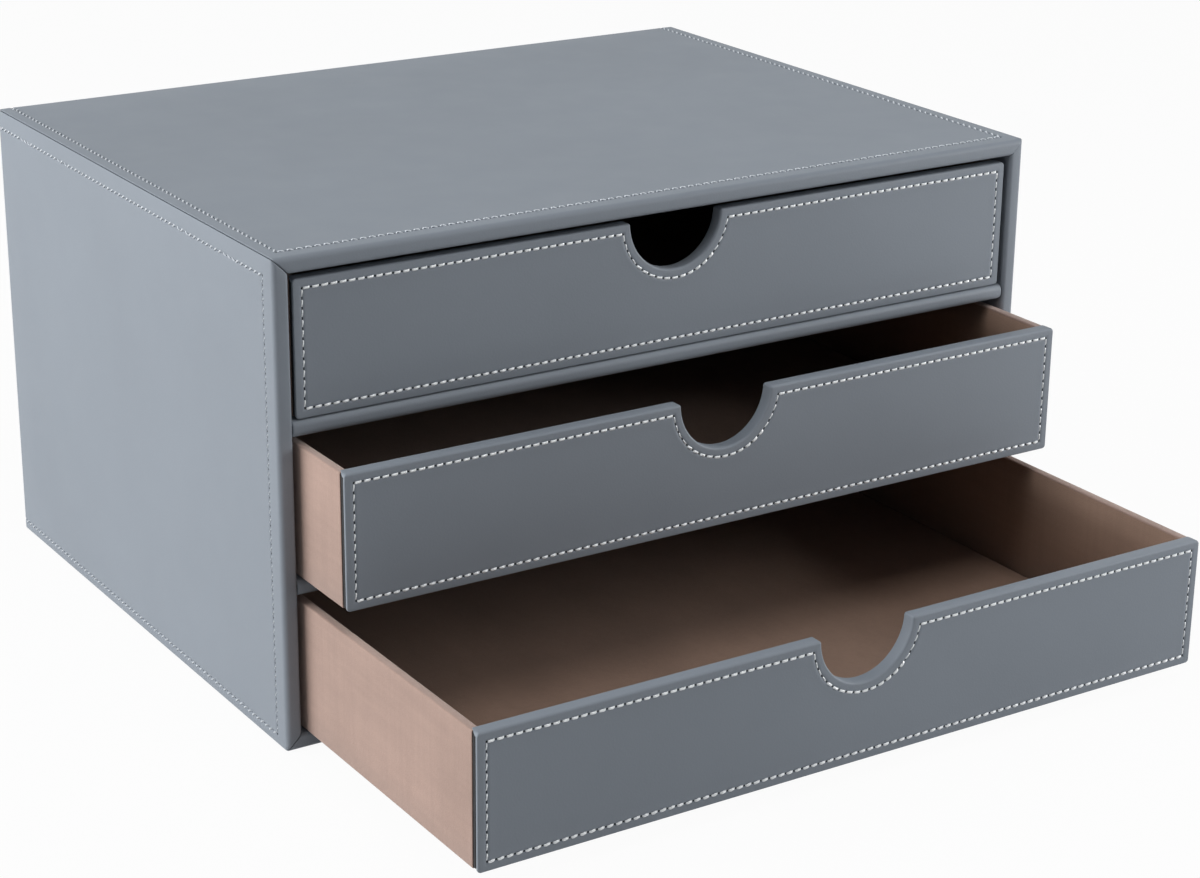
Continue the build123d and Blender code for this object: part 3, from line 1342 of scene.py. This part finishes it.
def white_world():
    """A soft all-round light that the camera sees as white."""
    world = bpy.data.worlds.new("white_studio")
    world.use_nodes = True
    tree = world.node_tree
    back = tree.nodes["Background"]
    back.inputs["Color"].default_value = (*SKY, 1)
    back.inputs["Strength"].default_value = SKY_STRENGTH
    white = tree.nodes.new("ShaderNodeBackground")
    white.inputs["Color"].default_value = (*WHITE, 1)
    mix = tree.nodes.new("ShaderNodeMixShader")
    tree.links.new(background_share(tree), mix.inputs["Fac"])
    tree.links.new(back.outputs["Background"], mix.inputs[1])
    tree.links.new(white.outputs["Background"], mix.inputs[2])
    tree.links.new(mix.outputs["Shader"], tree.nodes["World Output"].inputs["Surface"])
    bpy.context.scene.world = world


def soft_light(name, place, target, size, power, colour):
    """A square lamp that looks at a point."""
    lamp = bpy.data.lights.new(name, "AREA")
    lamp.size = size
    lamp.energy = power
    lamp.color = colour
    holder = bpy.data.objects.new(name, lamp)
    holder.location = place
    holder.rotation_euler = (Vector(target) - Vector(place)).to_track_quat("-Z", "Y").to_euler()
    bpy.context.scene.collection.objects.link(holder)


class ORGANIZER_OT_stage(bpy.types.Operator):
    """Pale floor, soft studio light and the camera"""

    bl_idname = "organizer.stage"
    bl_label = "Stage"

    def execute(self, context):
        settings = context.scene.organizer_stage
        self.floor(settings)
        white_world()
        for lamp in LAMPS:
            soft_light(*lamp)
        self.camera(context.scene, settings)
        context.scene.view_settings.view_transform = "Standard"
        return {"FINISHED"}

    def floor(self, settings):
        mesh = bpy.data.meshes.new("floor")
        signs = ((-1, -1), (1, -1), (1, 1), (-1, 1))
        corners = [(x * FLOOR_REACH, y * FLOOR_REACH, 0) for x, y in signs]
        mesh.from_pydata(corners, [], [(0, 1, 2, 3)])
        mesh.materials.append(floor_material(settings.floor))
        floor = bpy.data.objects.new("floor", mesh)
        bpy.context.scene.collection.objects.link(floor)

    def camera(self, scene, settings):
        data = bpy.data.cameras.new("camera")
        data.lens = settings.lens
        data.sensor_width = SENSOR_WIDTH
        data.clip_start = CLIP_START
        data.clip_end = CLIP_END
        camera = bpy.data.objects.new("camera", data)
        turn = Matrix.Rotation(settings.turn, 3, "Z")
        dip = Matrix.Rotation(math.pi / 2 - settings.dip, 3, "X")
        roll = Matrix.Rotation(settings.roll, 3, "Z")
        camera.rotation_euler = (turn @ dip @ roll).to_euler()
        camera.location = settings.place
        scene.collection.objects.link(camera)
        scene.camera = camera


class ORGANIZER_PT_sidebar(bpy.types.Panel):
    """Lists the organizer's pieces and their settings"""

    bl_label = "Drawer Organizer"
    bl_idname = "ORGANIZER_PT_sidebar"
    bl_space_type = "VIEW_3D"
    bl_region_type = "UI"
    bl_category = "Organizer"

    def draw(self, context):
        for operator in OPERATORS:
            self.layout.operator(operator.bl_idname)
        for name, group in SETTINGS.items():
            column = self.layout.column(heading=group.__doc__)
            for key in group.__annotations__:
                column.prop(getattr(context.scene, name), key)


OPERATORS = (
    ORGANIZER_OT_solid_finishes,
    ORGANIZER_OT_cabinet_covers,
    ORGANIZER_OT_shelf_covers,
    ORGANIZER_OT_back_cover,
    ORGANIZER_OT_cabinet_stitching,
    ORGANIZER_OT_drawer_fronts,
    ORGANIZER_OT_front_stitching,
    ORGANIZER_OT_drawer_suede,
    ORGANIZER_OT_floor_liners,
    ORGANIZER_OT_stage,
)


def register():
    for kind in (*SETTINGS.values(), *OPERATORS, ORGANIZER_PT_sidebar):
        bpy.utils.register_class(kind)
    for name, group in SETTINGS.items():
        setattr(bpy.types.Scene, name, PointerProperty(type=group))


def unregister():
    for name in SETTINGS:
        delattr(bpy.types.Scene, name)
    for kind in reversed((*SETTINGS.values(), *OPERATORS, ORGANIZER_PT_sidebar)):
        bpy.utils.unregister_class(kind)


def main():
    register()
    for operator in OPERATORS:
        group, name = operator.bl_idname.split(".")
        getattr(getattr(bpy.ops, group), name)()


if __name__ == "__main__":
    main()
